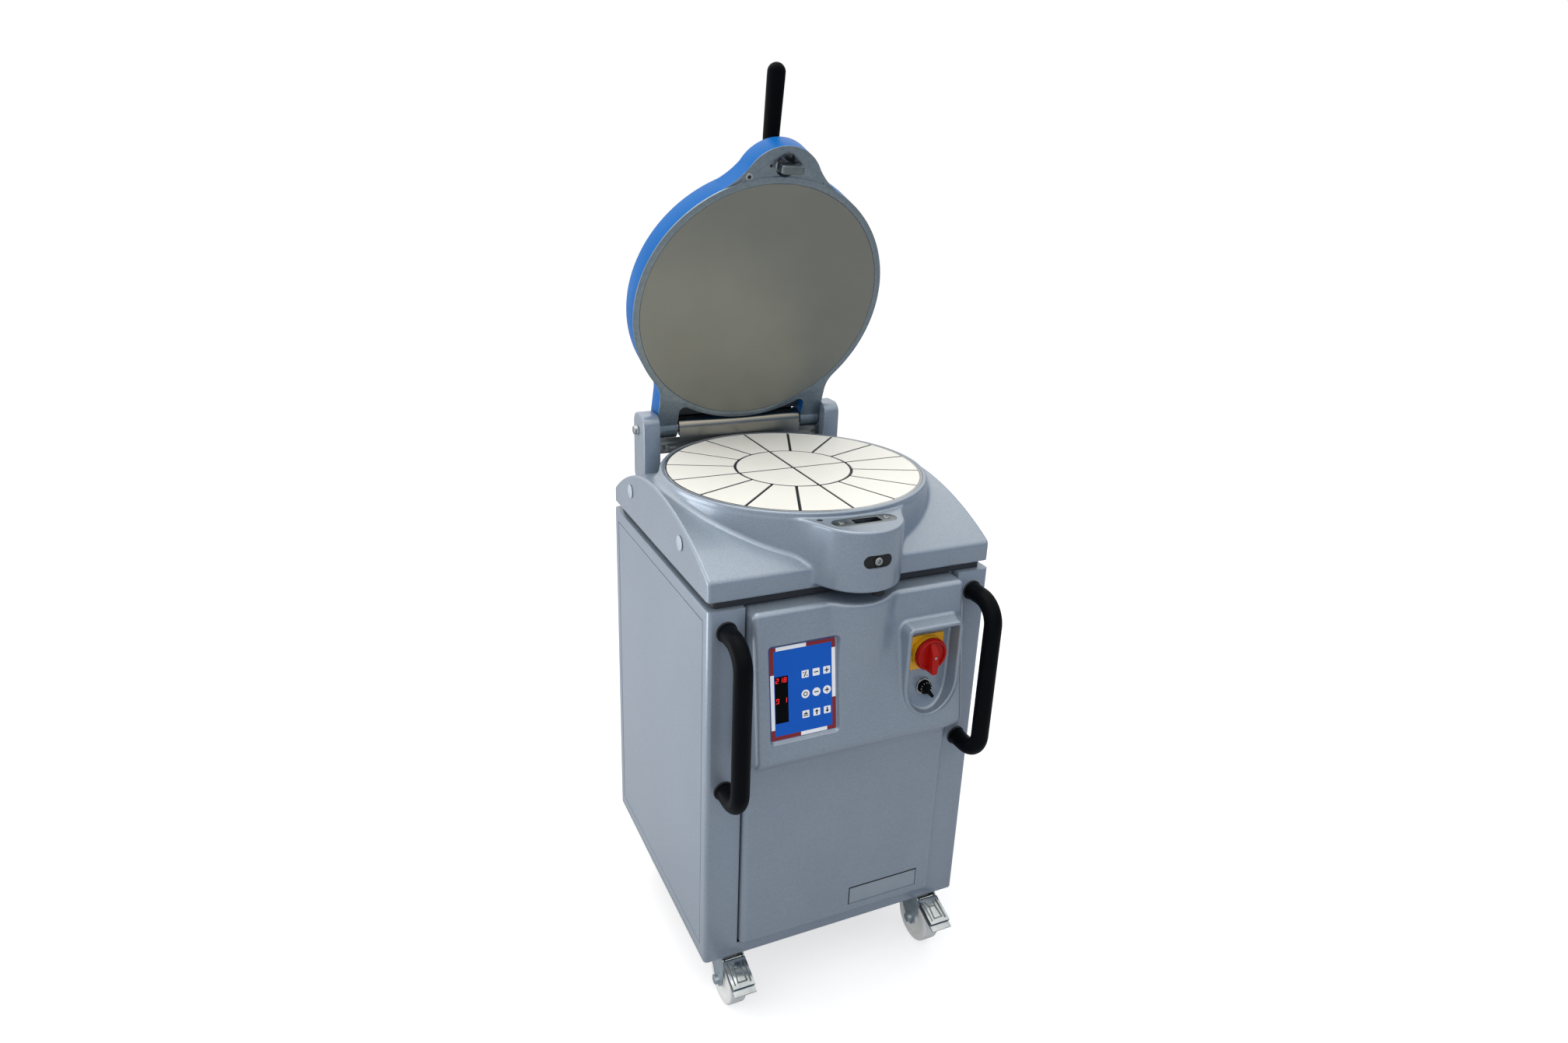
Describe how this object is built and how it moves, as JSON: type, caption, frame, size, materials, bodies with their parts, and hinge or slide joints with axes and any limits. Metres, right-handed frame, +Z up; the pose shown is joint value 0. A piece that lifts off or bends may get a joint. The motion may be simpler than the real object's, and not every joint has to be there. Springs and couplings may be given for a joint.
{
  "type": "dough divider",
  "caption": "Free-standing hydraulic dough divider: castor cabinet, sloping console, round segmented dividing table with rising knives, and a hinged press lid with a cranked handle.",
  "frame": {"origin": "floor level, under the middle of the whole footprint with the lid open", "axes": "+X to the operator's right as they face the machine, -Y the front with the console, +Z up"},
  "size_m": [0.543, 0.657, 1.6671],
  "materials": {
    "silver_paint": "satin metallic paint",
    "blue_paint": "gloss paint on cast aluminium",
    "stainless": "brushed stainless steel",
    "zinc": "bright zinc plating",
    "dark_steel": "dark primer",
    "black_plastic": "black satin",
    "white_plastic": "food-grade plastic, matt",
    "nylon": "cream nylon",
    "yellow_plastic": "gloss",
    "red_plastic": "gloss",
    "keypad_film": "printed film",
    "bronze": "plain bearing bronze"
  },
  "bodies": {
    "machine": {"base_frame": "dark_steel", "main_frame": "dark_steel", "cabinet_shell": "silver_paint", "left_side_panel": "silver_paint", "right_side_panel": "silver_paint", "rear_panel": "silver_paint", "front_panel": "silver_paint", "top_cover": "silver_paint", "side_plugs": "silver_paint", "tank_ring": "stainless", "left_hinge_tower": "silver_paint", "right_hinge_tower": "silver_paint", "hinge_bridge": "silver_paint", "hinge_shaft": "stainless", "hinge_bolts": "zinc", "hinge_guard": "stainless", "cover_screws": "zinc", "spring_sleeve": "dark_steel", "striker_plate": "stainless", "lock_unit": "black_plastic", "left_handle": "black_plastic", "right_handle": "black_plastic", "keypad_panel": "keypad_film", "switch_plate": "yellow_plastic", "selector_bezel": "stainless", "control_box": "dark_steel", "press_cylinder": "dark_steel", "knife_cylinders": "dark_steel", "oil_tank": "dark_steel", "pump_motor": "dark_steel", "hydraulic_pump": "stainless", "valve_block": "stainless", "castor_plates": "zinc"},
    "lid": {"lid_casting": "blue_paint", "lid_plate": "stainless", "lid_handle": "black_plastic", "latch_block": "stainless", "hinge_bushes": "bronze"},
    "platen": {"outer_segments": "white_plastic", "inner_segments": "white_plastic", "segment_posts": "stainless", "press_plate": "dark_steel", "press_ram": "zinc"},
    "knives": {"knife_blades": "stainless", "knife_ring": "stainless", "knife_carrier": "dark_steel", "knife_rods": "zinc"},
    "lock_slide": {"lock_slide": "zinc"},
    "switch_knob": {"switch_knob": "red_plastic"},
    "selector_knob": {"selector_knob": "black_plastic"},
    "front_left_castor": {"front_left_fork": "zinc"},
    "front_right_castor": {"front_right_fork": "zinc"},
    "rear_left_castor": {"rear_left_fork": "zinc"},
    "rear_right_castor": {"rear_right_fork": "zinc"},
    "front_left_wheel": {"front_left_wheel": "nylon"},
    "front_right_wheel": {"front_right_wheel": "nylon"},
    "rear_left_wheel": {"rear_left_wheel": "nylon"},
    "rear_right_wheel": {"rear_right_wheel": "nylon"},
    "left_brake": {"left_pedal": "zinc"},
    "right_brake": {"right_pedal": "zinc"}
  },
  "joints": [
    {"name": "lid_hinge", "type": "hinge", "parent": "machine", "child": "lid", "pos_m": [0, 0.3045, 0.983], "axis": [1, 0, 0], "range_deg": [0, 70], "stiffness_Nm_per_rad": 40, "springref_deg": -42.97},
    {"name": "platen_slide", "type": "slide", "parent": "machine", "child": "platen", "axis": [0, 0, 1], "range_m": [-0.085, 0]},
    {"name": "knife_slide", "type": "slide", "parent": "machine", "child": "knives", "axis": [0, 0, 1], "range_m": [-0.087, 0.002]},
    {"name": "lock_slide_travel", "type": "slide", "parent": "machine", "child": "lock_slide", "axis": [-1, 0, 0], "range_m": [0, 0.008], "stiffness_N_per_m": 400},
    {"name": "switch_turn", "type": "hinge", "parent": "machine", "child": "switch_knob", "pos_m": [0.129, -0.2725, 0.705], "axis": [0, 1, 0], "range_deg": [0, 90]},
    {"name": "selector_turn", "type": "hinge", "parent": "machine", "child": "selector_knob", "pos_m": [0.129, -0.2725, 0.635], "axis": [0, 1, 0], "range_deg": [-45, 45]},
    {"name": "front_left_swivel", "type": "hinge", "parent": "machine", "child": "front_left_castor", "pos_m": [-0.212, -0.1815, 0.115], "axis": [0, 0, 1], "continuous": true},
    {"name": "front_left_roll", "type": "hinge", "parent": "front_left_castor", "child": "front_left_wheel", "pos_m": [-0.212, -0.2195, 0.05], "axis": [1, 0, 0], "continuous": true},
    {"name": "rear_left_swivel", "type": "hinge", "parent": "machine", "child": "rear_left_castor", "pos_m": [-0.212, 0.2345, 0.115], "axis": [0, 0, 1], "continuous": true},
    {"name": "rear_left_roll", "type": "hinge", "parent": "rear_left_castor", "child": "rear_left_wheel", "pos_m": [-0.212, 0.1965, 0.05], "axis": [1, 0, 0], "continuous": true},
    {"name": "left_brake_press", "type": "hinge", "parent": "front_left_castor", "child": "left_brake", "pos_m": [-0.212, -0.2355, 0.104], "axis": [1, 0, 0], "range_deg": [0, 10]},
    {"name": "front_right_swivel", "type": "hinge", "parent": "machine", "child": "front_right_castor", "pos_m": [0.212, -0.1815, 0.115], "axis": [0, 0, 1], "continuous": true},
    {"name": "front_right_roll", "type": "hinge", "parent": "front_right_castor", "child": "front_right_wheel", "pos_m": [0.212, -0.2195, 0.05], "axis": [1, 0, 0], "continuous": true},
    {"name": "rear_right_swivel", "type": "hinge", "parent": "machine", "child": "rear_right_castor", "pos_m": [0.212, 0.2345, 0.115], "axis": [0, 0, 1], "continuous": true},
    {"name": "rear_right_roll", "type": "hinge", "parent": "rear_right_castor", "child": "rear_right_wheel", "pos_m": [0.212, 0.1965, 0.05], "axis": [1, 0, 0], "continuous": true},
    {"name": "right_brake_press", "type": "hinge", "parent": "front_right_castor", "child": "right_brake", "pos_m": [0.212, -0.2355, 0.104], "axis": [1, 0, 0], "range_deg": [0, 10]}
  ]
}
